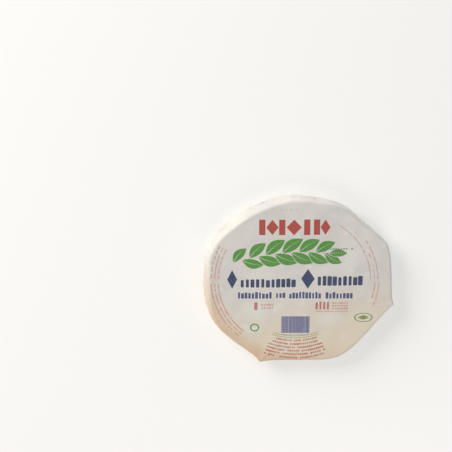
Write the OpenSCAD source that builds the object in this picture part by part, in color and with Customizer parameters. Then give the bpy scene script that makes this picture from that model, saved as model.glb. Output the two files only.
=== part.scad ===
// Soft-ripened cheese wheel in its folded paper wrapper, lying flat with the printed face up.
// The sheet is laid over the face, drawn down the side in eight folds and lapped underneath.
// Millimetres. Z is up, Y points to the top of the print, and the origin is under the middle of the base.

/* [Wheel] */
// Nominal width of the wrapped wheel, before its facets are pulled flat
wheel_w = 230; // [180:1:300]
// Full height, from the table to the middle of the printed face
wheel_h = 24; // [20:0.5:40]
// How far the middle of the printed face stands above its edge
crown = 0.8; // [0:0.1:2]
// How far the side bulges out at half its height
belly = 0.8; // [0:0.1:3]
// How far the soft wheel has slumped, so that its base stands to one side of its face
slump = 6; // [0:0.5:8]
// Direction in which the base stands out, measured from the right of the print
slump_at = 185; // [0:5:355]

/* [Edges] */
// Radius of the face's edge where the paper is drawn tight
edge_tight_r = 2.4; // [1:0.1:5]
// Radius of the face's edge where the paper lies slack
edge_slack_r = 5.5; // [2:0.1:6.5]
// Direction in which the paper is slackest, measured from the right of the print
slack_at = -30; // [-180:5:180]
// Radius of the lower edge
foot_edge_r = 6.5; // [3:0.5:7.5]

/* [Facets] */
// Share of the facets' shape that is left at the lower edge, where the wheel is rounder
facet_keep = 0.45; // [0:0.05:1]
// Height of the loose paper ears below the printed face
ear_drop = 15; // [6:0.5:18]

/* [Pleats] */
// Number of pleats pressed into each facet
pleats_per_facet = 3; // [2:1:4]
// Depth of a pleat at the lower edge
pleat_h = 0.9; // [0:0.1:2]
// Turn of the pleats round the wheel from the face down to the table, in degrees
pleat_lean = 4; // [0:0.5:10]
// Depth of the steps where the lapped paper overlaps underneath
lap_h = 0.9; // [0.2:0.1:1.5]

/* [Base] */
// How far the flat patch that the wheel rests on keeps in from the nominal edge
rest_inset = 37; // [30:1:60]
// How far the flat patch stands below the lapped paper
rest_drop = 0.4; // [0.2:0.1:1]

/* [Hidden] */

// Facets of the wrapper: [direction, how far the flat stands outside the nominal radius]
facets = [[2, 3.5], [46, 0], [80, -0.5], [122, -3], [176, -1.5], [227, 2], [270, -2], [318, 0.5]];

// Corner after each facet: [direction, how far it stands out, softness from 0 sharp to 1 round]
corners = [[24, 9, 0.6], [62, 3, 0.8], [94, 0, 0.2], [158, 3, 1],
           [206, 5, 0.8], [245, 9.5, 0], [294, 6.5, 0.8], [343, 11, 0]];

// Loose ears of paper at two of the corners: [corner, how far the ear stands out further]
ears = [[5, 1.5], [7, 1]];

nominal_r = wheel_w / 2;
rest_r = nominal_r - rest_inset;
facet_count = len(facets);
steps_per_pleat = 5;
steps_per_facet = pleats_per_facet * steps_per_pleat;
columns = facet_count * steps_per_facet;

ear_width = 5; // degrees to each side of the corner
corner_power = 2.6; // 2 draws a flat facet, and more pulls its corners out into ears
slump_done = 0.7; // share of the height over which the side leans out
fold_share = 0.2; // share of a pleat's width that its steep back takes
flat_margin = 4; // the laps run this far in over the resting patch
edge_steps = 3;
side_steps = 4;
foot_steps = 4;
face_rings = [0.3, 0.6, 0.85, 0.95];
lap_rings = [0.33, 0.66];
face_edge_z = wheel_h - crown;

paper_colour = "#efe9dc";

function mix(a, b, t) = a + (b - a) * t;
function limit(t) = min(1, max(0, t));

// Corner before facet i, with its direction brought below that facet's own
function corner_before(i) = i > 0
    ? corners[i - 1]
    : [corners[facet_count - 1][0] - 360, corners[facet_count - 1][1], corners[facet_count - 1][2]];

// Direction of column k: each facet is shared out evenly between its two corners
function facet_of(k) = floor(k / steps_per_facet);
function direction(k) = let (i = facet_of(k))
    mix(corner_before(i)[0], corners[i][0], (k - i * steps_per_facet) / steps_per_facet);

// Rise from the middle of a facet (t = 0) to its corner (t = 1)
function rise(t, softness) =
    mix(pow(t, corner_power), (1 - cos(180 * t)) / 2, softness);

// How far column k stands outside the nominal radius at the printed face's edge
function facet_offset(k) = let (
        i = facet_of(k),
        a = direction(k),
        flat = facets[i],
        corner = a < flat[0] ? corner_before(i) : corners[i],
        t = (a - flat[0]) / (corner[0] - flat[0]))
    flat[1] + (corner[1] - flat[1]) * rise(t, corner[2]);

// Turn from one direction to another, between -180 and 180
function turn(a, b) = let (d = (a - b) % 360) d > 180 ? d - 360 : d < -180 ? d + 360 : d;

// Extra reach of the ears, which fades to nothing at ear_drop below the face
function ear_offset(a, z) = limit(1 - (wheel_h - z) / ear_drop)
    * max([for (e = ears) e[1] * pow(limit(1 - abs(turn(a, corners[e[0]][0])) / ear_width), 2)]);

// Radius of the face's edge at direction a, from tight to slack paper
function edge_r(a) = mix(edge_tight_r, edge_slack_r, (1 + cos(a - slack_at)) / 2);

// Sideways shift of the side, from none at the face to all of it near the base
function slump_offset(a, up) = slump * cos(a - slump_at) * sin(90 * limit((1 - up) / slump_done));

// One pleat: the paper climbs over the fold and drops back at its far side
function saw(t) = let (f = t - floor(t))
    f < 1 - fold_share ? f / (1 - fold_share) : (1 - f) / fold_share;

// Radius of the side at column k and height z
function side_r(k, z) = let (
        a = direction(k),
        up = limit(z / face_edge_z),
        lean = pleat_lean * (1 - up) / 360 * facet_count * pleats_per_facet)
    nominal_r
    + facet_offset(k) * mix(facet_keep, 1, up)
    + ear_offset(a, z)
    + slump_offset(a, up)
    + belly * sin(180 * up)
    - pleat_h * (1 - up) * (1 - saw(k / steps_per_pleat + lean));

// Height of the lapped paper underneath, in steps that run round the base
function lap_z(k) = rest_drop + lap_h * saw(-k / steps_per_pleat);

function polar(r, a, z) = [r * cos(a), r * sin(a), z];

// Printed face: nearly flat rings that fall a little towards the edge
function face_point(k, q) = let (a = direction(k), r = (side_r(k, face_edge_z) - edge_r(a)) * q)
    polar(r, a, wheel_h - crown * pow(q, 3));

// Upper edge: a quarter round from the face to the side
function edge_point(k, t) = let (a = direction(k), e = edge_r(a), z = face_edge_z - e * (1 - cos(90 * t)))
    polar(side_r(k, z) - e * (1 - sin(90 * t)), a, z);

// Side: from the end of the upper edge down to the start of the lower one
function side_point(k, t) = let (a = direction(k), z = mix(face_edge_z - edge_r(a), foot_z(k), t))
    polar(side_r(k, z), a, z);

// Lower edge: a quarter round under the wheel
function foot_z(k) = lap_z(k) + foot_edge_r;
function foot_point(k, t) = let (a = direction(k), z = foot_z(k) - foot_edge_r * sin(90 * t))
    polar(side_r(k, foot_z(k)) - foot_edge_r * (1 - cos(90 * t)), a, z);

// Underneath: the laps run in from the lower edge and flatten out over the resting patch
function lap_point(k, t) = let (
        a = direction(k),
        r_out = side_r(k, foot_z(k)) - foot_edge_r,
        r_in = rest_r - flat_margin)
    polar(mix(r_out, r_in, t), a, mix(lap_z(k), rest_drop, pow(t, 2)));

function ring_list() = concat(
    [for (q = face_rings) [for (k = [0:columns - 1]) face_point(k, q)]],
    [for (s = [0:edge_steps]) [for (k = [0:columns - 1]) edge_point(k, s / edge_steps)]],
    [for (s = [1:side_steps]) [for (k = [0:columns - 1]) side_point(k, s / side_steps)]],
    [for (s = [1:foot_steps]) [for (k = [0:columns - 1]) foot_point(k, s / foot_steps)]],
    [for (t = lap_rings) [for (k = [0:columns - 1]) lap_point(k, t)]],
    [[for (k = [0:columns - 1]) lap_point(k, 1)]]);

// Closed skin: two triangles between neighbours, and a fan at the middle of the face and of the base
module paper_skin(rings) {
    count = len(rings);
    points = concat([[0, 0, wheel_h]], [for (ring = rings) each ring], [[0, 0, rest_drop]]);
    last = len(points) - 1;
    function at(ring, k) = 1 + ring * columns + k % columns;
    polyhedron(
        points = points,
        faces = concat(
            [for (k = [0:columns - 1]) [0, at(0, k + 1), at(0, k)]],
            [for (ring = [0:count - 2]) for (k = [0:columns - 1])
                each [[at(ring, k), at(ring, k + 1), at(ring + 1, k + 1)],
                      [at(ring, k), at(ring + 1, k + 1), at(ring + 1, k)]]],
            [for (k = [0:columns - 1]) [last, at(count - 1, k), at(count - 1, k + 1)]]),
        convexity = 4);
}

// Flat patch that the laps are pressed into where the wheel stands on them
module rest_patch() {
    cylinder(h = rest_drop + foot_edge_r, r = rest_r, $fn = 96);
}

module wrapped_wheel() {
    rings = ring_list();
    xs = [for (ring = rings) for (p = ring) p[0]];
    ys = [for (ring = rings) for (p = ring) p[1]];
    middle = [(min(xs) + max(xs)) / 2, (min(ys) + max(ys)) / 2, 0];
    color(paper_colour) union() {
        translate(-middle) paper_skin(rings);
        rest_patch();
    }
}

wrapped_wheel();
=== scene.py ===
import math
from functools import partial

import bpy
import numpy as np
from mathutils import Matrix, Vector


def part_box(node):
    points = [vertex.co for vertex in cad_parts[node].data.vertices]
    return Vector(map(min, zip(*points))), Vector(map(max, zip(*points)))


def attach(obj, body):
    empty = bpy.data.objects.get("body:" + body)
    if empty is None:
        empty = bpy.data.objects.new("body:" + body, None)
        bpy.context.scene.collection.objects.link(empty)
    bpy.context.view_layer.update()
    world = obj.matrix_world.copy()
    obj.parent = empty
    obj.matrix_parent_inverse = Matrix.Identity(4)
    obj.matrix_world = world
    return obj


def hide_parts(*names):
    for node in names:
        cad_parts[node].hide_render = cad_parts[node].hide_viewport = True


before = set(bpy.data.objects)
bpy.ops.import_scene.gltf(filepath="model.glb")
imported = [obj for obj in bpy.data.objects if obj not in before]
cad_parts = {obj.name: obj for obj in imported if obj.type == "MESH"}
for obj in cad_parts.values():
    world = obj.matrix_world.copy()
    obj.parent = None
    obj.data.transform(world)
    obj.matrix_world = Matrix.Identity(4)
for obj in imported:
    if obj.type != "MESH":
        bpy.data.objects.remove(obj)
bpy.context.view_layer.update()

# Soft cheese wheel in a printed sheet of waxed paper: the sheet lies over the face, is drawn down
# the side in pleats and lapped underneath, where a round seal closes it. Shapes are in millimetres.
mm = 0.001
nodeLow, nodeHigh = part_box("wrapped_wheel")
print("frame loaded: wheel", [round((b - a) / mm, 1) for a, b in zip(nodeLow, nodeHigh)], "mm")

wheel = {
    "width": 230.0,  # before the facets are drawn flat
    "height": nodeHigh.z / mm,
    "crown": 0.8,  # the face's middle stands this far above its edge
    "belly": 0.8,  # the side bulges this far at half its height
    "slump": 6.0,  # the soft wheel leans, so that its base stands out to one side
    "slumpAt": 185.0,  # direction of the lean, in degrees from the right of the print
    "slumpDone": 0.7,  # share of the height over which the side leans out
    "edgeTight": 2.4,  # radius of the face's edge where the paper is drawn tight
    "edgeSlack": 5.5,  # and where it lies slack
    "slackAt": -30.0,  # direction of the slackest paper
    "footEdge": 6.5,  # radius of the lower edge
    "facetKeep": 0.45,  # share of the facets left at the lower edge
    "cornerPower": 2.6,  # 2 draws a flat facet, more pulls its corners into ears
    "earDrop": 15.0,  # height of the loose paper ears
    "earWidth": 5.0,  # degrees to each side of the corner
    # flat of each facet: direction and how far it stands outside the nominal radius
    "facets": [(2, 3.5), (46, 0), (80, -0.5), (122, -3), (176, -1.5), (227, 2), (270, -2), (318, 0.5)],
    # corner after each facet: direction, how far it stands out, softness from 0 sharp to 1 round
    "corners": [(24, 9, 0.6), (62, 3, 0.8), (94, 0, 0.2), (158, 3, 1),
                (206, 5, 0.8), (245, 9.5, 0), (294, 6.5, 0.8), (343, 11, 0)],
    "ears": [(245, 1.5), (343, 1.0)],  # corners with a loose ear, and its further reach
}
faceEdgeZ = wheel["height"] - wheel["crown"]

pleats = {
    "count": 29,  # folds gathered round the side
    "start": 4.0,  # direction of the first
    "jitter": 0.55,  # each is moved by up to this share of their spacing
    "depth": (0.45, 1.0),  # step at the lower edge
    "reach": (0.3, 0.75),  # share of the side's height that a fold climbs
    "lean": (1.0, 7.0),  # degrees that a fold turns from the face down to the base
    "cornerDepth": 0.9,  # step of the folds that start at a corner of the face
    "cornerReach": (1.15, 0.75),  # and how far they climb, from a sharp corner to a soft one
    "stepWidth": 0.09,  # half width of the step at a fold, in degrees
    "riseCurve": 1.4,  # the paper climbs by this power from one fold to the next
    "fadeCurve": 0.8,  # and the steps fade by this power on their way up
    "shadeFall": 9.0,  # the larger, the narrower the painted shade beside a step
    "shadeEnds": (0.9, 1.0),  # shares of the height between which it ends below the face
    "columns": 720,
    "leastColumns": 4,  # from one fold to the next
    "seed": 11,
}

# small upright wrinkles of the side: how many of each wave go round it
puckers = {"height": 0.16, "waves": (34, 58, 83, 121, 150), "fadeCurve": 0.7, "seed": 5}

# a slanting tuck pressed into the side: direction, height and slant of its middle line, and its sizes
pocket = {"at": 111.0, "z": 9.0, "tilt": 33.0, "halfLength": 6.0, "halfWidth": 0.8, "depth": 1.9}

relief = {
    "swell": (75.0, 0.34),  # length and height of the broad unevenness of the soft cheese
    "dimple": (27.0, 0.085),  # and of the smaller dents under the paper
    "spread": (0.75, 1.35),  # least and most share of its length that one of the waves has
    "fadeBelow": (9.0, 1.0),  # it fades out over this depth below the face
    "creaseStart": 4.0,  # creases start this far outside the nominal radius
    "creaseBehind": 0.4,  # and reach back by this share of their length
    "slackSide": 2.6,  # a crease is this much wider on its slack side
    "creaseNarrows": 0.55,  # share of its width that it has lost at its far end
    "creaseCurve": 1.4,
    "seed": 23,
    # creases that run in from the edge: direction, turn off the radius, length, height, width
    "creases": [(245, -22, 46, 0.75, 3.0), (247, 14, 24, 0.5, 2.2), (343, 20, 42, 0.6, 3.2),
                (341, -34, 30, 0.45, 2.4), (318, 8, 26, 0.35, 2.4), (330, -18, 34, 0.32, 2.6),
                (306, 12, 22, 0.35, 2.2), (24, -8, 30, 0.5, 3.4), (12, 24, 24, 0.3, 2.6),
                (206, 16, 26, 0.4, 2.6), (224, -10, 18, 0.35, 2.0), (158, 10, 20, 0.3, 2.4),
                (94, -12, 15, 0.4, 1.8), (62, 20, 22, 0.35, 2.6), (270, 10, 14, 0.3, 1.8),
                (36, 18, 20, 0.3, 2.4)],
}

laps = {
    "swirl": 38.0,  # degrees that the folds turn on their way in to the middle of the base
    "swirlCurve": 1.3,  # by this power of the way in
    "step": 0.34,  # height of each lapped fold
    "top": 1.0,  # the sheet lies this high behind the laps
    "lift": 0.55,  # the laps rise this much more at the lower edge
}


def mix(a, b, t):
    return a + (b - a) * t


def smoothStep(low, high, x):
    # 3t^2 - 2t^3 of the share t of the way from low to high
    t = np.clip((x - low) / (high - low), 0, 1)
    return t * t * (3 - 2 * t)


def turn(a, b):
    # angle from b to a, between -180 and 180 degrees
    return (a - b + 180) % 360 - 180


def facetOffset(direction):
    # From the flat of the facet (t = 0) to its nearer corner (t = 1) the radius rises by t^cornerPower
    # at a sharp corner and by half a cosine wave at a soft one
    flats = np.array(wheel["facets"], float)
    corners = np.array(wheel["corners"], float)
    corners = np.vstack([corners[-1] - [360, 0, 0], corners])
    a = (direction - corners[0, 0]) % 360 + corners[0, 0]
    i = np.clip(np.searchsorted(corners[:, 0], a, side="right") - 1, 0, len(flats) - 1)
    flatAt, flatOut = flats[i, 0], flats[i, 1]
    corner = np.where((a < flatAt)[..., None], corners[i], corners[i + 1])
    t = np.clip((a - flatAt) / (corner[..., 0] - flatAt), 0, 1)
    rise = mix(t ** wheel["cornerPower"], (1 - np.cos(np.pi * t)) / 2, corner[..., 2])
    return flatOut + (corner[..., 1] - flatOut) * rise


def earOffset(direction, z):
    # Each ear reaches out by the square of the nearness to its corner, and fades down the side
    near = [out * np.clip(1 - np.abs(turn(direction, at)) / wheel["earWidth"], 0, 1) ** 2
            for at, out in wheel["ears"]]
    return np.clip(1 - (wheel["height"] - z) / wheel["earDrop"], 0, 1) * np.max(near, axis=0)


def edgeRadius(direction):
    # Half a cosine wave from the tight paper on one side to the slack paper on the other
    slack = (1 + np.cos(np.radians(direction - wheel["slackAt"]))) / 2
    return mix(wheel["edgeTight"], wheel["edgeSlack"], slack)


def gatherPleats():
    # Folds evenly spaced round the side and moved at random. Those nearest a corner start at it.
    rng = np.random.default_rng(pleats["seed"])
    count = pleats["count"]
    moved = pleats["jitter"] * rng.uniform(-0.5, 0.5, count)
    at = 360 / count * (np.arange(count) + moved) + pleats["start"]
    depth = rng.uniform(*pleats["depth"], count)
    reach = rng.uniform(*pleats["reach"], count)
    lean = rng.uniform(*pleats["lean"], count)
    for corner, _, softness in wheel["corners"]:
        i = np.abs(turn(at, corner)).argmin()
        at[i] = at[i] + turn(corner, at[i])
        depth[i], reach[i] = pleats["cornerDepth"], mix(*pleats["cornerReach"], softness)
    order = np.argsort(at)
    return {"at": at[order], "depth": depth[order], "reach": reach[order], "lean": lean[order]}


def layColumns(folds):
    # Columns of the grid run from just after one fold to just before the next, so that every step
    # of the paper falls between two close columns
    after = np.append(folds["at"][1:], folds["at"][0] + 360)
    gaps = after - folds["at"]
    shares = np.round(gaps / 360 * pleats["columns"]).astype(int)
    shares = np.maximum(shares, pleats["leastColumns"])
    step = pleats["stepWidth"]
    columns = {"face": [], "rise": [], "depth": [], "reach": [], "lean": []}
    for i, n in enumerate(shares):
        t = np.linspace(0, 1, n)
        j = (i + 1) % len(shares)
        columns["face"].append(mix(folds["at"][i] + step, after[i] - step, t))
        columns["rise"].append(t ** pleats["riseCurve"])
        columns["lean"].append(mix(folds["lean"][i], folds["lean"][j], t))
        for name in ("depth", "reach"):
            columns[name].append(np.full(n, folds[name][j]))
    return {name: np.concatenate(parts)[None, :] for name, parts in columns.items()}


def pocketShade(direction, z):
    # Gaussian ridge across a slanting line, cut off smoothly at both of its ends
    s = np.radians(turn(direction, pocket["at"])) * wheel["width"] / 2
    h = z - pocket["z"]
    tilt = math.radians(pocket["tilt"])
    along = s * math.cos(tilt) + h * math.sin(tilt)
    across = h * math.cos(tilt) - s * math.sin(tilt)
    ends = 1 - smoothStep(0.5, 1.0, np.abs(along) / pocket["halfLength"])
    return np.exp(-((across / pocket["halfWidth"]) ** 2)) * ends


def wrinkles(direction):
    # Sum of waves round the wheel with random phases
    rng = np.random.default_rng(puckers["seed"])
    phases = rng.uniform(0, 2 * np.pi, len(puckers["waves"]))
    total = sum(np.cos(n * np.radians(direction) + p) for n, p in zip(puckers["waves"], phases))
    return puckers["height"] * total / math.sqrt(len(puckers["waves"]))


def pleatFade(columns, up):
    # Share of a step that is left at this share of the height
    return np.clip(1 - up / columns["reach"], 0, 1) ** pleats["fadeCurve"]


def sideRadius(columns, direction, z):
    # Nominal radius, plus facets, ears, belly, the lean of the soft wheel and the wrinkles,
    # less the steps of the pleats, which deepen towards the base
    up = np.clip(z / faceEdgeZ, 0, 1)
    lean = np.sin(np.pi / 2 * np.clip((1 - up) / wheel["slumpDone"], 0, 1))
    return (
        wheel["width"] / 2
        + facetOffset(direction) * mix(wheel["facetKeep"], 1, up)
        + earOffset(direction, z)
        + wheel["slump"] * np.cos(np.radians(direction - wheel["slumpAt"])) * lean
        + wheel["belly"] * np.sin(np.pi * up)
        + wrinkles(direction) * np.sin(np.pi * up) ** puckers["fadeCurve"]
        - columns["depth"] * pleatFade(columns, up) * (1 - columns["rise"])
        - pocket["depth"] * pocketShade(direction, z)
    )


def columnDirection(columns, up):
    # A column turns with the lean of its folds on the way down
    return columns["face"] + columns["lean"] * (1 - up)


def waves(x, y, length, count, rng):
    # Sum of plane waves of about one length, in random directions, with a spread of about 1
    total = np.zeros_like(x)
    for _ in range(count):
        heading, phase = rng.uniform(0, 2 * np.pi, 2)
        k = 2 * np.pi / (length * rng.uniform(*relief["spread"]))
        total += np.cos(k * (x * np.cos(heading) + y * np.sin(heading)) + phase)
    return total * math.sqrt(2 / count)


def creaseHeight(x, y, at, off, length, height, width):
    # A ridge along a line that runs in from the edge: steep on one side and slack on the other,
    # falling off with the square of the way that is left
    a, heading = math.radians(at), math.radians(at + off)
    r = wheel["width"] / 2 + relief["creaseStart"]
    dx, dy = x - r * math.cos(a), y - r * math.sin(a)
    s = -(dx * math.cos(heading) + dy * math.sin(heading)) / length
    d = dy * math.cos(heading) - dx * math.sin(heading)
    reach = np.where(d > 0, width, relief["slackSide"] * width)
    reach = reach * (1 - relief["creaseNarrows"] * np.clip(s, 0, 1))
    across = np.clip(1 - np.abs(d) / reach, 0, 1) ** relief["creaseCurve"]
    return height * across * np.clip(1 - s, 0, 1) ** 2 * (s > -relief["creaseBehind"])


def faceRelief(x, y):
    # Swell, dimples and creases added up
    rng = np.random.default_rng(relief["seed"])
    total = relief["swell"][1] * waves(x, y, relief["swell"][0], 7, rng)
    total += relief["dimple"][1] * waves(x, y, relief["dimple"][0], 9, rng)
    for crease in relief["creases"]:
        total += creaseHeight(x, y, *crease)
    return total


def polar(r, direction, z):
    # Points at radius r in a direction, at height z
    a = np.radians(direction)
    return np.stack(np.broadcast_arrays(r * np.cos(a), r * np.sin(a), z), axis=-1)


def wrapSheet(columns):
    # One profile from the middle of the face to the middle of the base, carried round the columns:
    # face rings, a quarter round, the side, a second quarter round and the laps underneath
    steps = {"face": 100, "edge": 14, "side": 34, "foot": 16, "laps": 56}
    edge = edgeRadius(columns["face"])
    topRadius = sideRadius(columns, columns["face"], faceEdgeZ) - edge

    q = np.linspace(1 / steps["face"], 1, steps["face"])[:, None]
    face = polar(topRadius * q, columns["face"], wheel["height"] - wheel["crown"] * q ** 3)

    t = np.linspace(0, 1, steps["edge"] + 1)[1:, None] * np.pi / 2
    z = faceEdgeZ - edge * (1 - np.cos(t))
    at = columnDirection(columns, z / faceEdgeZ)
    upper = polar(sideRadius(columns, at, z) - edge * (1 - np.sin(t)), at, z)

    footZ = np.full_like(edge, laps["top"] + laps["lift"] + wheel["footEdge"])
    t = np.linspace(0, 1, steps["side"] + 1)[1:, None]
    z = mix(faceEdgeZ - edge, footZ, t)
    at = columnDirection(columns, z / faceEdgeZ)
    side = polar(sideRadius(columns, at, z), at, z)

    t = np.linspace(0, 1, steps["foot"] + 1)[1:, None] * np.pi / 2
    z = footZ - wheel["footEdge"] * np.sin(t) - laps["step"] * columns["rise"] * smoothStep(0, 1, t)
    at = columnDirection(columns, footZ / faceEdgeZ)
    foot = polar(sideRadius(columns, at, footZ) - wheel["footEdge"] * (1 - np.cos(t)), at, z)

    t = np.linspace(0, 1, steps["laps"] + 2)[1:-1, None]
    r = (sideRadius(columns, at, footZ) - wheel["footEdge"]) * (1 - t)
    z = laps["top"] - laps["step"] * columns["rise"] + laps["lift"] * (1 - smoothStep(0, 0.3, t))
    under = polar(r, at + laps["swirl"] * t ** laps["swirlCurve"], z)

    rings = np.concatenate([face, upper, side, foot, under])
    x, y, z = rings[..., 0], rings[..., 1], rings[..., 2]
    low, high = relief["fadeBelow"]
    fade = smoothStep(wheel["height"] - low, wheel["height"] - high, z)
    middle = faceRelief(np.zeros(1), np.zeros(1))[0]
    rings[..., 2] += faceRelief(x, y) * fade - middle * fade
    points = rings.reshape(-1, 3)
    shift = (points.max(0) + points.min(0)) / 2 * [1, 1, 0]
    poles = np.array([[0, 0, wheel["height"]], [0, 0, laps["top"] - laps["step"] / 2]])
    return rings - shift, poles - shift, steps["face"] + steps["edge"] - 1, shift


def gridNormals(rings, poles):
    # Cross product of the steps round the rings and down the profile
    around = np.roll(rings, -1, axis=1) - np.roll(rings, 1, axis=1)
    padded = np.concatenate([np.broadcast_to(poles[0], rings[:1].shape), rings,
                             np.broadcast_to(poles[1], rings[:1].shape)])
    down = padded[2:] - padded[:-2]
    normal = np.cross(down, around)
    return normal / np.maximum(np.linalg.norm(normal, axis=-1, keepdims=True), 1e-12)


def discMap(rings, pole):
    # Flat map of the piece: its directions are kept, and the distance from the pole is measured
    # along the surface, so that side and face get the same detail
    path = np.concatenate([np.broadcast_to(pole, rings[:1].shape), rings])
    length = np.cumsum(np.linalg.norm(np.diff(path, axis=0), axis=-1), axis=0)
    widest = 0.497  # just inside the map's edge
    share = length.mean(1, keepdims=True) / length.mean(1).max() * widest
    a = np.arctan2(rings[..., 1] - pole[1], rings[..., 0] - pole[0])
    return np.stack([0.5 + share * np.cos(a), 0.5 + share * np.sin(a)], axis=-1)


def joinRings(rings):
    # Numbers of the points on the rings, of their neighbours round the ring, and quads between rings
    index = np.arange(rings.size // 3).reshape(rings.shape[:2])
    beside = np.roll(index, -1, axis=1)
    quads = np.stack([index[:-1], index[1:], beside[1:], beside[:-1]], axis=-1).reshape(-1, 4)
    return index, beside, quads


def fan(pole, ring, following):
    # Triangles between a pole and one ring
    return np.stack([np.full(len(ring), pole), ring, following], axis=-1)


def newMesh(name, vertices, faces):
    mesh = bpy.data.meshes.new(name)
    mesh.from_pydata((vertices * mm).tolist(), [], faces)
    mesh.polygons.foreach_set("use_smooth", np.ones(len(mesh.polygons), bool))
    mesh.update()
    return mesh


def placed(data):
    thing = bpy.data.objects.new(data.name, data)
    bpy.context.scene.collection.objects.link(thing)
    return thing


def makePiece(name, rings, pole, normals, shade, downward=False):
    # Rings run outwards from the pole. Quads join neighbours, and a fan closes the pole.
    index, beside, quads = joinRings(rings)
    middle = fan(index.size, index[0], beside[0])
    if downward:
        quads, middle = quads[:, ::-1], middle[:, ::-1]
    mesh = newMesh(name, np.vstack([rings.reshape(-1, 3), pole[None]]), quads.tolist() + middle.tolist())
    places = np.vstack([discMap(rings, pole).reshape(-1, 2), [[0.5, 0.5]]])
    corner = np.empty(len(mesh.loops), np.int32)
    mesh.loops.foreach_get("vertex_index", corner)
    mesh.uv_layers.new(name="OFBake").uv.foreach_set("vector", places[corner].ravel())
    attribute = mesh.attributes.new("foldShade", "FLOAT", "POINT")
    attribute.data.foreach_set("value", np.append(shade.ravel(), 0.0).astype(np.float32))
    mesh.update()
    up = [[0, 0, -1.0 if downward else 1.0]]
    mesh.normals_split_custom_set_from_vertices(np.vstack([normals.reshape(-1, 3), up]).tolist())
    return placed(mesh)


folds = gatherPleats()
columns = layColumns(folds)
rings, poles, seam, shift = wrapSheet(columns)
normals = gridNormals(rings, poles)

# Painted shade of the folds: strongest just past each step, where the paper goes under its neighbour
height = (rings[..., 2] / faceEdgeZ).clip(0, 1)
behind = np.exp(-columns["rise"] ** (1 / pleats["riseCurve"]) * pleats["shadeFall"])
direction = columnDirection(columns, height)
onSide = 1 - smoothStep(*pleats["shadeEnds"], height)
shade = behind * pleatFade(columns, height) * onSide
shade = np.maximum(shade, pocketShade(direction, rings[..., 2]) * onSide)

face = makePiece("printed_face", rings[:seam + 1], poles[0], normals[:seam + 1], shade[:seam + 1])
sides = makePiece("folded_sides", rings[seam:][::-1], poles[1], normals[seam:][::-1],
                  shade[seam:][::-1], downward=True)
print("wrapper made:", len(face.data.polygons) + len(sides.data.polygons), "faces")

seal = {
    "radius": 37.0,
    "thick": 0.22,
    "centre": (2.5, -3.0),
    "clear": 0.03,  # it keeps this far off the floor
    "curl": 0.12,  # and its edge lifts by this much more
    "wave": (3, 0.6),  # waves round the edge, and the share of the curl that they change
    "innerRing": 0.08,  # share of the radius
    "rings": 14,
    "columns": 144,
    "seed": 3,
}


def makeSeal():
    # Disc with a narrow rim: rings run from the middle of its top over the rim to the middle of its
    # underside. Its edge lifts by the fourth power of the way out, unevenly in waves round it.
    rng = np.random.default_rng(seal["seed"])
    a = np.linspace(0, 360, seal["columns"], endpoint=False)[None, :]
    q = np.linspace(seal["innerRing"], 1, seal["rings"])[:, None]
    count, share = seal["wave"]
    uneven = 1 + share * np.cos(np.radians(count * a + rng.uniform(0, 360)))
    lift = seal["curl"] * q ** 4 * uneven
    over = polar(seal["radius"] * q, a, seal["clear"] + seal["thick"] + lift)
    rim = polar(seal["radius"] + seal["thick"] / 2, a, seal["clear"] + seal["thick"] / 2 + lift[-1:])
    under = polar(seal["radius"] * q[::-1], a, seal["clear"] + lift[::-1])
    rings = np.concatenate([over, rim, under]) + [*seal["centre"], 0]
    poles = np.array([[*seal["centre"], seal["clear"] + seal["thick"]], [*seal["centre"], seal["clear"]]])
    index, beside, quads = joinRings(rings)
    top = fan(index.size, index[0], beside[0])
    base = fan(index.size + 1, beside[-1], index[-1])
    faces = quads.tolist() + top.tolist() + base.tolist()
    return placed(newMesh("closing_seal", np.vstack([rings.reshape(-1, 3), poles]), faces))


closingSeal = makeSeal()
print("seal made")


def colour(hexCode):
    # sRGB hex to linear, with full alpha
    parts = [int(hexCode[i:i + 2], 16) / 255 for i in (1, 3, 5)]
    return [c / 12.92 if c <= 0.04045 else ((c + 0.055) / 1.055) ** 2.4 for c in parts] + [1.0]


def addNode(tree, kind, inputs=(), out=0, **settings):
    # One shader node with its settings. Inputs are sockets to link or values to set, listed in order
    # or keyed by name or number. Returns the output asked for, or all of them for None.
    node = tree.nodes.new("ShaderNode" + kind)
    for name, value in settings.items():
        setattr(node, name, value)
    pairs = inputs.items() if isinstance(inputs, dict) else enumerate(inputs)
    for key, value in pairs:
        if isinstance(value, bpy.types.NodeSocket):
            tree.links.new(value, node.inputs[key])
        else:
            node.inputs[key].default_value = value
    return node.outputs if out is None else node.outputs[out]


def newMaterial(name):
    # An empty material, and addNode bound to it
    material = bpy.data.materials.new(name)
    material.use_nodes = True
    material.node_tree.nodes.clear()
    return material, partial(addNode, material.node_tree)


ink = {
    "red": "#b23a2b",
    "paleRed": "#c97a68",
    "green": "#479422",
    "oliveGreen": "#7d9656",
    "navy": "#0f3060",
    "slateBlue": "#36487c",
    "barBlue": "#123a8c",
    "grey": "#77767a",
}

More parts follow.
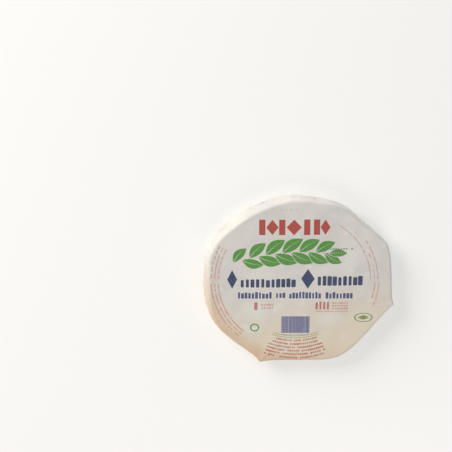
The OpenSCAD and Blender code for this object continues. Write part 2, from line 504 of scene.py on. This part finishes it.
layout = {
    "centre": (-2.8, 3.5),  # the print lies a little off the middle of the face
    "turn": -1.9,  # and a little askew, in degrees
    "above": (13.0, 14.5),  # the sheet is printed only down to this height, where the ink fades out
    "soft": 0.14,  # ink edge
    "mottle": {"size": 1.1, "least": 0.86},  # ink is this thin where the paper's fibres show through
    "cornerShare": 0.35,  # radius of a bar's corners, as a share of its smaller side
    "seeds": (1.0, 3.0),  # of the frieze and of the first of the rows
    "arcRadius": 102.0,  # middle one of the three rings of fine print
    # stalk of the sprig: both its ends, how far it arches up, and its width
    "stem": {"from": (-84, 24), "to": (40, 39), "arch": 7.0, "width": 1.1},
    # its leaves: spread is the angle off the stalk, bow how far a middle line arches, and gap the
    # bare paper round a leaf. The lower leaf of a pair sits further along by later, a share of the stalk.
    "leaf": {"length": 31.0, "halfWidth": 7.2, "spread": 32.0, "vein": 0.5, "pairs": 6, "gap": 0.8,
             "bow": 2.0, "first": 0.25, "later": 0.09},
    "tipLeaf": {"length": 0.75, "halfWidth": 0.7, "bow": 1.0, "turn": -0.12},  # shares of the others' sizes
    # frieze in the place of the heading: upright bars (middle, half width) and lozenges
    "friezeMiddle": 75.0,
    "friezeHalf": 10.6,
    "friezeBars": [(-43.0, 3.9), (-18.2, 3.9), (12.8, 3.9), (25.0, 3.9)],
    "friezeLozenges": [(-30.4, 7.6), (-3.4, 9.4), (35.6, 6.2)],
    # lozenges that start the two rows below it, and two signs: middle and half sizes, then line width
    "tallLozenges": [(-80.5, 2.2, 6.2, 13.0), (14.8, 2.6, 8.6, 14.0)],
    "signRings": [(-52, -67, 5.0, 5.0, 1.7), (86, -53, 11.0, 6.2, 0.9)],
    "signLozenge": (86, -53, 7.5, 3.4),
}

# What the bars of one kind share. tall, pitch: size of one bar and of its cell. width: least and most
# share of the cell that is filled. low: the shortest bar's share of the tallest. gap: share of the
# cells left out. round: radius of a bar's corners. rows, step: number of rows and the way between them.
nameBars = {"ink": "navy", "pitch": 6.4, "width": (0.56, 0.92), "low": 0.8}
lineBars = {"ink": "slateBlue", "tall": 9.5, "pitch": 4.3, "width": (0.5, 0.86), "low": 0.72}
redBars = {"ink": "red", "tall": 11.5, "strength": 0.8}
smallPrint = {"ink": "paleRed", "pitch": 2.9, "width": (0.5, 0.95), "low": 0.8}
stamp = {"ink": "grey", "width": (0.4, 0.9), "low": 0.8}
ringPrint = {"ink": "paleRed", "pitch": 2.4, "width": (0.6, 1.0), "low": 0.7, "gap": 0.1, "strength": 0.72}
leftRing = {**ringPrint, "place": "left", "tall": 1.9, "gap": 0.12, "rows": 3, "step": 4.4}
rightRing = {**ringPrint, "place": "right"}
footPrint = {"place": "below", "ink": "red", "tall": 2.7, "pitch": 2.7, "width": (0.6, 1.0), "low": 0.7,
             "gap": 0.13, "step": 4.9, "strength": 0.74}

# Rows of small bars. place: round one of three sides of the print, or flat where none is given.
# span: along the row, in mm or, round a side, in degrees. at: across it, in mm.
rowsOfBars = [
    # two rows in the place of the name, and the line below it
    {**nameBars, "span": (-71, 0), "at": -2.6, "tall": 13},
    {**nameBars, "span": (26, 84), "at": 0.0, "tall": 14},
    {**lineBars, "span": (-74, -30), "at": -20.2},
    {**lineBars, "span": (-26, -13), "at": -20.6, "tall": 7.5, "low": 0.9},
    {**lineBars, "span": (-9, 32), "at": -20.4},
    {**lineBars, "span": (37, 72), "at": -20.6},
    # small print to the left and right below
    {**redBars, "span": (-54, -47), "at": -36, "pitch": 7, "width": (0.55, 0.6), "low": 1},
    {**smallPrint, "span": (-44, -28), "at": -38.6, "tall": 3.0, "pitch": 3.1, "width": (0.5, 0.9),
     "rows": 2, "step": 4.6, "strength": 0.6},
    {**redBars, "span": (24, 43), "at": -35, "pitch": 4.75, "width": (0.5, 0.72), "low": 0.86},
    {**smallPrint, "span": (46, 66), "at": -39.6, "tall": 2.3, "rows": 3, "step": 3.9, "strength": 0.75},
    {**smallPrint, "span": (25, 66), "at": -43.6, "tall": 1.6, "strength": 0.7},
    # block of thin upright bars, and the line under it
    {"ink": "barBlue", "span": (-18, 18), "at": -63, "tall": 24, "pitch": 1.8, "width": (0.66, 1.0),
     "low": 1, "round": 0.05},
    {"ink": "slateBlue", "span": (-18, 18), "at": -77.4, "tall": 1.7, "pitch": 2.6, "width": (0.4, 0.8),
     "low": 0.8, "strength": 0.45},
    # stamped date
    {**stamp, "span": (31, 71), "at": 44.5, "tall": 2.2, "pitch": 3.2, "gap": 0.3, "strength": 0.8},
    {**stamp, "span": (33, 56), "at": 38.5, "tall": 1.9, "pitch": 2.9, "gap": 0.25, "strength": 0.6},
    {**stamp, "span": (33, 61), "at": 25.8, "tall": 1.1, "pitch": 2.3, "width": (0.5, 1.0), "gap": 0.2,
     "rows": 4, "step": 2.9, "strength": 0.42},
    # faint marks near the upper edge
    {"ink": "paleRed", "span": (-22, 8), "at": 99, "tall": 4.2, "pitch": 6, "width": (0.4, 0.7),
     "low": 0.8, "gap": 0.45, "strength": 0.16},
    # rings of fine print
    {**leftRing, "span": (2, 27), "at": 101.2},
    {**leftRing, "span": (-48, -2), "at": 101.2},
    {**rightRing, "span": (1, 55), "at": 96.8, "tall": 1.5},
    {**rightRing, "span": (1, 33), "at": 105.6, "tall": 1.6},
    {**rightRing, "span": (1, 15), "at": 101.4, "tall": 1.5, "strength": 0.6},
    {**rightRing, "span": (19, 23), "at": 101.4, "tall": 1.8, "width": (0.7, 1.0), "gap": 0.0,
     "strength": 0.8},
    {**rightRing, "span": (-15, -2), "at": 102.2, "tall": 1.8},
    {**rightRing, "span": (-22, -2), "at": 107.2, "tall": 1.8},
    # curved lines at the foot of the print
    {"place": "below", "ink": "oliveGreen", "span": (-21, 21), "at": 83.0, "tall": 1.2, "pitch": 3.4,
     "width": (0.9, 1.0), "low": 1, "rows": 2, "step": 2.8, "strength": 0.65},
    {**footPrint, "span": (-18.5, 18.5), "at": 89.6, "rows": 2},
    {**footPrint, "span": (-21, 21), "at": 99.4, "rows": 4},
]

# A cell's random number is the fraction of a large sine, and these steps from cell to cell scatter it
chanceStep = (12.99, 78.23, 37.72)
chanceSwing = 4375.85
flatten = 1e6  # a divisor that takes the height out of a place
midNoise = (0.3, 0.7)  # most of a noise lies between these


def inkEdge(node, x, inked, bare, strength=1.0):
    # Straight ramp from full ink at one value of x to bare paper at the other. Plain Math and Clamp
    # nodes keep the long chain of the print within what a renderer holds for one material.
    slope = strength / (inked - bare)
    level = node("Math", [x, slope, -slope * bare], operation="MULTIPLY_ADD")
    return node("Clamp", [level, 0.0, strength])


def barRow(node, place, row, seed):
    # Bars stand on one line in cells of one pitch. A cell's random numbers say whether its bar is
    # there, how wide and how tall it is, and the distance to a box with round corners gives its edge.
    unit = math.radians(1) * layout["arcRadius"] if "place" in row else 1
    start, end = (edge * unit for edge in row["span"])
    cells = max(1, round((end - start) / row["pitch"]))
    pitch = (end - start) / cells
    step, rows, tall = row.get("step", 1.0), row.get("rows", 1), row["tall"]
    least, most = row["width"]
    bend = row.get("round", layout["cornerShare"] * min(least * pitch, row["low"] * tall))

    moved = node("VectorMath", [place, (start, row["at"], 0)], operation="SUBTRACT")
    inCells = node("VectorMath", [moved, (pitch, step, 1)], operation="DIVIDE")
    x = node("VectorMath", [inCells, (1, 0, 0)], out="Value", operation="DOT_PRODUCT")
    y = node("VectorMath", [inCells, (0, 1, 0)], out="Value", operation="DOT_PRODUCT")
    cell = node("Math", [x], operation="FLOOR")
    nearest = node("Math", [y], operation="ROUND")
    line = node("Clamp", [nearest, 0.0, rows - 1.0])
    which = node("CombineXYZ", [cell, line, seed])

    def chance(rate):
        # the fraction of a large sine is one random number for each cell
        turned = [part * rate for part in chanceStep]
        angle = node("VectorMath", [which, turned], out="Value", operation="DOT_PRODUCT")
        swing = node("Math", [angle], operation="SINE")
        large = node("Math", [swing, chanceSwing], operation="MULTIPLY")
        return node("Math", [large], operation="FRACT")

    wide, high = chance(1.0), chance(1.7)
    halfWide = node("Math", [wide, (most - least) * pitch / 2, least * pitch / 2], operation="MULTIPLY_ADD")
    low = row["low"] * tall / 2
    halfTall = node("Math", [high, tall / 2 - low, low], operation="MULTIPLY_ADD")
    inCell = node("Math", [x, cell], operation="SUBTRACT")
    dx = node("Math", [inCell, pitch, -pitch / 2], operation="MULTIPLY_ADD")
    inRow = node("Math", [y, line], operation="SUBTRACT")
    dy = node("Math", [inRow, step, tall / 2], operation="MULTIPLY_ADD")
    fromMiddle = node("Math", [dy, halfTall], operation="SUBTRACT")
    offset = node("CombineXYZ", [dx, fromMiddle, 0.0])
    size = node("CombineXYZ", [halfWide, halfTall, 0.0])
    core = node("VectorMath", [size, (bend, bend, 0)], operation="SUBTRACT")
    apart = node("VectorMath", [offset], operation="ABSOLUTE")
    past = node("VectorMath", [apart, core], operation="SUBTRACT")
    beyond = node("VectorMath", [past, (0, 0, 0)], operation="MAXIMUM")
    distance = node("VectorMath", [beyond], out="Value", operation="LENGTH")
    soft = layout["soft"] / 2
    edge = inkEdge(node, distance, bend - soft, bend + soft, row.get("strength", 1.0))
    kept = node("Math", [high, row.get("gap", 0.0)], operation="GREATER_THAN")
    within = node("Math", [x, cells / 2, cells / 2], operation="COMPARE")
    bars = node("Math", [edge, kept], operation="MULTIPLY")
    return node("Math", [bars, within], operation="MULTIPLY")


def lozenge(node, place, centre, half):
    # Inside where the shares of the two half diagonals add up to less than 1
    moved = node("VectorMath", [place, (*centre, 0)], operation="SUBTRACT")
    scaled = node("VectorMath", [moved, (*half, flatten)], operation="DIVIDE")
    apart = node("VectorMath", [scaled], operation="ABSOLUTE")
    total = node("VectorMath", [apart, (1, 1, 0)], out="Value", operation="DOT_PRODUCT")
    soft = layout["soft"] / min(half)
    return inkEdge(node, total, 1 - soft, 1 + soft)


def ringLine(node, place, centre, half, width):
    # A line of one width along an ellipse
    moved = node("VectorMath", [place, (*centre, 0)], operation="SUBTRACT")
    scaled = node("VectorMath", [moved, (*half, flatten)], operation="DIVIDE")
    reach = node("VectorMath", [scaled], out="Value", operation="LENGTH")
    off = node("Math", [reach, 1.0], operation="SUBTRACT")
    apart = node("Math", [off], operation="ABSOLUTE")
    least = min(half)
    soft = layout["soft"] / 2
    return inkEdge(node, apart, (width / 2 - soft) / least, (width / 2 + soft) / least)


def leafBlade(node, place, under, foot, heading, length, halfWidth, bend):
    # With s the share of the way from foot to tip, the blade's half width is 4s(1 - s) of its most,
    # and its middle line bows by the same rule. A bare vein runs along that line, and a bare gap
    # round the blade parts it from the leaves under it.
    ahead = (math.cos(heading) / length, math.sin(heading) / length, 0)
    beside = (-math.sin(heading), math.cos(heading), 0)
    moved = node("VectorMath", [place, (*foot, 0)], operation="SUBTRACT")
    s = node("VectorMath", [moved, ahead], out="Value", operation="DOT_PRODUCT")
    across = node("VectorMath", [moved, beside], out="Value", operation="DOT_PRODUCT")
    left = node("Math", [1.0, s], operation="SUBTRACT")
    lens = node("Math", [s, left], operation="MULTIPLY")
    bowed = node("Math", [lens, -4 * bend, across], operation="MULTIPLY_ADD")
    apart = node("Math", [bowed], operation="ABSOLUTE")
    outline = node("Math", [lens, 4 * halfWidth], operation="MULTIPLY")
    inside = node("Math", [outline, apart], operation="SUBTRACT")
    soft, gap = layout["soft"] / 2, layout["leaf"]["gap"]
    atFoot = 0.8 * layout["leaf"]["vein"]  # the vein narrows to nothing at the tip
    blade = inkEdge(node, inside, soft, -soft)
    beyond = inkEdge(node, inside, -gap - soft, -gap + soft)
    veinWidth = node("Math", [left, atFoot], operation="MULTIPLY")
    fromVein = node("Math", [apart, veinWidth], operation="SUBTRACT")
    bare = inkEdge(node, fromVein, soft, -soft)
    blade = node("Math", [blade, bare], operation="MULTIPLY")
    kept = node("Math", [under, beyond], operation="MULTIPLY")
    return node("Math", [kept, blade], operation="MAXIMUM")


def sprig(node, place):
    # Stalk: a shallow arch by 4s(1 - s). Leaves leave it in pairs, to both sides, and one ends it.
    stem, leaf, tip = layout["stem"], layout["leaf"], layout["tipLeaf"]
    start, end = np.array(stem["from"], float), np.array(stem["to"], float)
    length = np.linalg.norm(end - start)
    heading = math.atan2(*(end - start)[::-1])
    side = np.array([-math.sin(heading), math.cos(heading)])
    total = leafBlade(node, place, 0.0, start, heading, length, stem["width"] / 2, stem["arch"])
    for i in range(leaf["pairs"]):
        s = (i + leaf["first"]) / leaf["pairs"]
        slope = math.atan(4 * stem["arch"] * (1 - 2 * s) / length)
        for turned in (1, -1):
            t = s + leaf["later"] * (1 - turned) / 2
            foot = start + (end - start) * t + side * 4 * stem["arch"] * t * (1 - t)
            size = 0.8 + 0.25 * math.sin(math.pi * t)  # the middle leaves are the largest
            aim = heading + slope + turned * math.radians(leaf["spread"])
            total = leafBlade(node, place, total, foot, aim, leaf["length"] * size,
                              leaf["halfWidth"] * size, leaf["bow"] * turned)
    return leafBlade(node, place, total, end - side, heading + tip["turn"], leaf["length"] * tip["length"],
                     leaf["halfWidth"] * tip["halfWidth"], tip["bow"])


def curvedPlace(node, place, side):
    # Angle round the print from its left, right or lower side, as a length, and the distance from
    # its middle
    p = node("VectorMath", [place, (1, 0, 0)], out="Value", operation="DOT_PRODUCT")
    q = node("VectorMath", [place, (0, 1, 0)], out="Value", operation="DOT_PRODUCT")
    back = node("Math", [q if side == "below" else p, -1.0], operation="MULTIPLY")
    pair = {"left": [q, back], "right": [q, p], "below": [p, back]}[side]
    angle = node("Math", pair, operation="ARCTAN2")
    along = node("Math", [angle, layout["arcRadius"]], operation="MULTIPLY")
    reach = node("VectorMath", [place], out="Value", operation="LENGTH")
    return node("CombineXYZ", [along, reach, 0.0])


def printOver(node, base, place, z):
    # Inks over the paper, only on the upper part of the sheet. Thin ink lets the paper's fibres show.
    # Each shape is laid over what is there before the next is worked out.
    upper = node("MapRange", [z, *layout["above"], 0.0, 1.0])
    mottle = node("TexNoise", {"Vector": place, "Scale": 1 / layout["mottle"]["size"], "Detail": 2.0})
    cover = node("MapRange", [mottle, *midNoise, layout["mottle"]["least"], 1.0])
    shown = node("Math", [upper, cover], operation="MULTIPLY")

    def lay(over, name, mask):
        laid = node("Math", [mask, shown], operation="MULTIPLY")
        return node("Mix", {0: laid, 6: over, 7: colour(ink[name])}, out=2, data_type="RGBA")

    base = lay(base, "green", sprig(node, place))
    for *centre, halfWide, halfTall, width in layout["signRings"]:
        base = lay(base, "green", ringLine(node, place, centre, (halfWide, halfTall), width))
    for name, shapes in (("oliveGreen", [layout["signLozenge"]]), ("navy", layout["tallLozenges"])):
        for *centre, halfWide, halfTall in shapes:
            base = lay(base, name, lozenge(node, place, centre, (halfWide, halfTall)))
    middle, half = layout["friezeMiddle"], layout["friezeHalf"]
    friezeSeed, firstSeed = layout["seeds"]
    bar = {"at": middle, "tall": 2 * half, "low": 1, "width": (1, 1), "round": 0.6}
    for centre, halfWide in layout["friezeBars"]:
        ends = {"span": (centre - halfWide, centre + halfWide), "pitch": 2 * halfWide}
        base = lay(base, "red", barRow(node, place, {**bar, **ends}, friezeSeed))
    for centre, halfWide in layout["friezeLozenges"]:
        base = lay(base, "red", lozenge(node, place, (centre, middle), (halfWide, half)))
    sides = {side: curvedPlace(node, place, side) for side in ("left", "right", "below")}
    for i, row in enumerate(rowsOfBars):
        where = sides.get(row.get("place"), place)
        base = lay(base, row["ink"], barRow(node, where, row, firstSeed + i))
    return base


paper = {
    "sheet": "#e3e0d9",
    "cloud": "#d9d6d2",  # thinner places, a little greyer
    "cloudSize": 42.0,
    "cloudOver": (0.38, 0.66),  # of the noise, as are the other ranges within 0 to 1
    "lifted": "#e9e9e1",  # where air lies under the sheet
    "liftedOver": (0.56, 0.7),
    "liftedMost": (0.75, 0.7),  # most of it in the small places and in the larger pockets
    "airUnder": [((40, -52), (27, 17)), ((-52, -40), (24, 20)), ((62, 30), (20, 26))],  # middle, half size
    "airEdge": (0.8, 1.7),  # a pocket fades out from here to here, as shares of its half size
    "airRagged": 1.2,  # how much the noise moves its edge
    "paintedWarmLight": "#e6dac2",  # painted warm light, towards the lower side of the print
    "warmTowards": (0.1, -1.0, 0.0),
    "warmOver": (-5.0, 85.0),  # from none to most, measured that way from the middle
    "warmMost": 0.95,
    "patchStrengthOver": (0.25, 0.75),
    "patchStrength": (1.15, 0.65),  # both patches are stronger and weaker by this
    "paintedWarmShade": "#ddc2a2",  # painted warm shade on the lower-left edge
    "warmShadeTowards": (-0.57, -0.82, 0.0),
    "warmShadeOver": (35.0, 108.0),
    "rim": (92.0, 117.0),  # and only from here outwards
    "unevenSize": 19.0,
    "fold": "#9c8466",  # painted shade under the folds and in the tuck
    "foldShadeMost": 0.5,
    "gloss": (0.5, 0.64),  # roughness of the wax
    # relief: size of each kind and its height
    "crinkle": (7.5, 0.26),
    "facet": (13.0, 0.035),
    "ridge": 0.12,  # width of the ridges between facets, as a share of a facet
    "fibre": (0.9, 0.02),
    "crinkledOver": (60.0, 115.0),
    "crinkledLeast": 0.35,  # share of it that the middle of the face keeps
}


def waxedPaper(name, printed):
    # Bleached wrapping paper of about 40 g a square metre, run through hot wax: off-white and a
    # little see-through, with a soft satin shine and fine crinkles that it keeps from handling. Warm light,
    # warm shade at the lower-left edge and shade in the folds are painted into its colour. The print is
    # flat offset ink.
    material, node = newMaterial(name)

    def tint(over, amount, which):
        inputs = {0: amount, 6: over, 7: colour(paper[which])}
        return node("Mix", inputs, out=2, data_type="RGBA")

    place = node("TexCoord", out="Object")
    inMm = node("VectorMath", {0: place, "Scale": 1 / mm}, operation="SCALE")
    _, _, z = node("SeparateXYZ", [inMm], out=None)
    flat = node("VectorMath", [inMm, (1, 1, 0)], operation="MULTIPLY")
    reach = node("VectorMath", [flat], out="Value", operation="LENGTH")
    cloud = node("TexNoise", {"Vector": inMm, "Scale": 1 / paper["cloudSize"], "Detail": 3.0})
    uneven = node("TexNoise", {"Vector": inMm, "Scale": 1 / paper["unevenSize"], "Detail": 3.0})

    patch = node("MapRange", [cloud, *paper["cloudOver"], 0.0, 1.0])
    tone = tint(colour(paper["sheet"]), patch, "cloud")

    # Painted warm light: warmer towards the lower side, unevenly
    lower = node("VectorMath", [flat, paper["warmTowards"]], out="Value", operation="DOT_PRODUCT")
    patchStrength = node("MapRange", [uneven, *paper["patchStrengthOver"], *paper["patchStrength"]])
    paintedWarmLight = node("MapRange", [lower, *paper["warmOver"], 0.0, paper["warmMost"]],
                interpolation_type="SMOOTHSTEP")
    paintedWarmLight = node("Math", [paintedWarmLight, patchStrength], operation="MULTIPLY", use_clamp=True)
    tone = tint(tone, paintedWarmLight, "paintedWarmLight")

    # Air under the sheet: small uneven places and larger pockets, none of it at the drawn rim
    outer = node("MapRange", [reach, *paper["rim"], 0.0, 1.0], interpolation_type="SMOOTHSTEP")
    small, large = paper["liftedMost"]
    lifted = node("MapRange", [uneven, *paper["liftedOver"], 0.0, small])
    for centre, half in paper["airUnder"]:
        moved = node("VectorMath", [inMm, (*centre, 0)], operation="SUBTRACT")
        scaled = node("VectorMath", [moved, (*half, flatten)], operation="DIVIDE")
        away = node("VectorMath", [scaled], out="Value", operation="LENGTH")
        away = node("Math", [cloud, paper["airRagged"], away], operation="MULTIPLY_ADD")
        bubble = node("MapRange", [away, *paper["airEdge"], large, 0.0], interpolation_type="SMOOTHSTEP")
        lifted = node("Math", [lifted, bubble], operation="MAXIMUM")
    inner = node("Math", [1.0, outer], operation="SUBTRACT")
    lifted = node("Math", [lifted, inner], operation="MULTIPLY")
    tone = tint(tone, lifted, "lifted")

    # Painted warm shade on the lower-left edge of the sheet
    towards = node("VectorMath", [flat, paper["warmShadeTowards"]], out="Value", operation="DOT_PRODUCT")
    facing = node("MapRange", [towards, *paper["warmShadeOver"], 0.0, 1.0])
    paintedWarmShade = node("Math", [outer, facing], operation="MULTIPLY")
    paintedWarmShade = node("Math", [paintedWarmShade, patchStrength], operation="MULTIPLY", use_clamp=True)
    tone = tint(tone, paintedWarmShade, "paintedWarmShade")
    if printed:
        centre = (*[c * mm for c in layout["centre"]], 0)
        turned = (0, 0, math.radians(layout["turn"]))
        sheet = node("Mapping", [place, centre, turned, (mm, mm, mm)], vector_type="TEXTURE")
        tone = printOver(node, tone, sheet, z)
    # Painted shade in the folds and the tuck: a darker brown mixed in where the foldShade attribute is high
    foldShadeMask = node("Attribute", out="Fac", attribute_name="foldShade")
    under = node("Math", [foldShadeMask, paper["foldShadeMost"]], operation="MULTIPLY")
    tone = tint(tone, under, "fold")

    # Relief in millimetres: crinkles of 2 to 6 mm, small flat facets with ridges between, and fibres,
    # drawn at 0.5 mm where real ones are 0.03 mm wide, so that they show
    (crinkleSize, crinkleHigh), (facetSize, facetHigh) = paper["crinkle"], paper["facet"]
    fibreSize, fibreHigh = paper["fibre"]
    crinkle = node("TexNoise", {"Vector": inMm, "Scale": 1 / crinkleSize, "Detail": 3.5,
                                "Roughness": 0.55})
    ridges = node("TexVoronoi", {"Vector": inMm, "Scale": 1 / facetSize, "Detail": 1.0},
                  feature="DISTANCE_TO_EDGE")
    facet = node("MapRange", [ridges, 0.0, paper["ridge"], 1.0, 0.0])
    fibres = node("TexNoise", {"Vector": inMm, "Scale": 1 / fibreSize, "Detail": 2.0})
    outward = node("MapRange", [reach, *paper["crinkledOver"], paper["crinkledLeast"], 1.0])
    height = node("Math", [crinkle, crinkleHigh], operation="MULTIPLY")
    height = node("Math", [facet, facetHigh, height], operation="MULTIPLY_ADD")
    height = node("Math", [height, outward], operation="MULTIPLY")
    height = node("Math", [fibres, fibreHigh, height], operation="MULTIPLY_ADD")
    normal = node("Bump", {"Strength": 1.0, "Distance": mm, "Height": height})
    gloss = node("MapRange", [cloud, *midNoise, *paper["gloss"]])
    surface = node("BsdfPrincipled", {"Base Color": tone, "Roughness": gloss, "Normal": normal,
                                      "IOR": 1.44, "Coat Weight": 0.06, "Coat Roughness": 0.45})
    node("OutputMaterial", [surface], out=None)
    return material


label = {"light": "#efece2", "dark": "#e2ded2", "cloud": (14.0, 0.2), "fibre": (0.8, 0.03)}  # size, height


def gummedPaper():
    # Plain label paper with a dull sized face: whiter and flatter than the waxed sheet. Its fibres,
    # too, are drawn coarser than real ones.
    material, node = newMaterial("matt_label_paper")
    (cloudSize, cloudHigh), (fibreSize, fibreHigh) = label["cloud"], label["fibre"]
    place = node("TexCoord", out="Object")
    inMm = node("VectorMath", {0: place, "Scale": 1 / mm}, operation="SCALE")
    cloud = node("TexNoise", {"Vector": inMm, "Scale": 1 / cloudSize, "Detail": 4.0})
    tone = node("Mix", {0: cloud, 6: colour(label["light"]), 7: colour(label["dark"])}, out=2,
                data_type="RGBA")
    fibres = node("TexNoise", {"Vector": inMm, "Scale": 1 / fibreSize, "Detail": 3.0})
    height = node("Math", [fibres, fibreHigh], operation="MULTIPLY")
    height = node("Math", [cloud, cloudHigh, height], operation="MULTIPLY_ADD")
    normal = node("Bump", {"Strength": 1.0, "Distance": mm, "Height": height})
    surface = node("BsdfPrincipled", {"Base Color": tone, "Roughness": 0.72, "Normal": normal, "IOR": 1.5})
    node("OutputMaterial", [surface], out=None)
    return material


face.data.materials.append(waxedPaper("waxed_paper_printed", True))
sides.data.materials.append(waxedPaper("waxed_paper_plain", False))
closingSeal.data.materials.append(gummedPaper())
print("materials made")

for piece in (face, sides):
    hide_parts("wrapped_wheel")
for piece in (face, sides, closingSeal):
    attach(piece, "root")

studio = {
    "floorHalf": 3.0,
    "floorColour": "#dededc",
    "floorGlow": 0.44,  # the floor is lit from below too, as a light table is
    "world": 0.415,
    "worldColour": "#f6f8ff",
    # name: direction from the wheel, distance, size, power, colour
    "lights": {
        "key": ((-0.57, 0.72, 0.42), 3.0, 1.75, 64.0, "#fffaf2"),
        "warmFill": ((-0.95, -0.1, 0.25), 1.3, 0.7, 2.4, "#fff0de"),
        "frontFill": ((0.25, -0.75, 0.6), 1.2, 0.8, 3.4, "#fff4e6"),
    },
}


def makeFloor():
    half = studio["floorHalf"]
    mesh = bpy.data.meshes.new("floor")
    mesh.from_pydata([(-half, -half, 0), (half, -half, 0), (half, half, 0), (-half, half, 0)], [],
                     [(0, 1, 2, 3)])
    floor = placed(mesh)
    material, node = newMaterial("matt_table_top")
    tint = colour(studio["floorColour"])
    surface = node("BsdfPrincipled", {"Base Color": tint, "Roughness": 0.9, "Specular IOR Level": 0.1,
                                      "Emission Color": tint, "Emission Strength": studio["floorGlow"]})
    node("OutputMaterial", [surface], out=None)
    mesh.materials.append(material)


def makeLights():
    for name, (heading, distance, size, power, tint) in studio["lights"].items():
        data = bpy.data.lights.new(name, "AREA")
        data.shape = "DISK"
        data.size, data.energy, data.color = size, power, colour(tint)[:3]
        light = placed(data)
        light.location = Vector(heading).normalized() * distance
        light.rotation_mode = "QUATERNION"
        light.rotation_quaternion = Vector(heading).to_track_quat("Z", "Y")
    world = bpy.data.worlds.new("studio")
    world.use_nodes = True
    backdrop = world.node_tree.nodes["Background"]
    backdrop.inputs["Color"].default_value = colour(studio["worldColour"])
    backdrop.inputs["Strength"].default_value = studio["world"]
    bpy.context.scene.world = world


view = {
    "tilt": 28.0,  # degrees off the upright, towards the top of the print
    "round": 3.0,  # and a little to its left
    "roll": 1.2,
    "distance": 2.6,
    "lens": 164.4,
    "aimLeft": 92.4,  # the lens points this far to the left of the face's middle, in mm
    "aimUp": 71.8,  # and above it, so that the wheel stands low and right in the picture
}


def makeCamera():
    tilt, around, roll = (math.radians(view[k]) for k in ("tilt", "round", "roll"))
    back = Vector((-math.sin(tilt) * math.sin(around), math.sin(tilt) * math.cos(around), math.cos(tilt)))
    right = (-back).cross(Vector((0, 1, 0))).normalized()
    up = right.cross(-back)
    rolledRight = right * math.cos(roll) - up * math.sin(roll)
    rolledUp = up * math.cos(roll) + right * math.sin(roll)
    subject = Vector((-shift[0], -shift[1], wheel["height"])) * mm
    place = subject + back * view["distance"]
    aim = subject - rolledRight * view["aimLeft"] * mm + rolledUp * view["aimUp"] * mm
    z = (place - aim).normalized()
    x = rolledUp.cross(z).normalized()
    y = z.cross(x)
    data = bpy.data.cameras.new("camera")
    data.lens = view["lens"]
    data.clip_end = 20
    camera = placed(data)
    camera.matrix_world = Matrix.Translation(place) @ Matrix((x, y, z)).transposed().to_4x4()
    bpy.context.scene.camera = camera


makeFloor()
makeLights()
makeCamera()
bpy.context.scene.view_settings.view_transform = "Standard"
print("studio made")
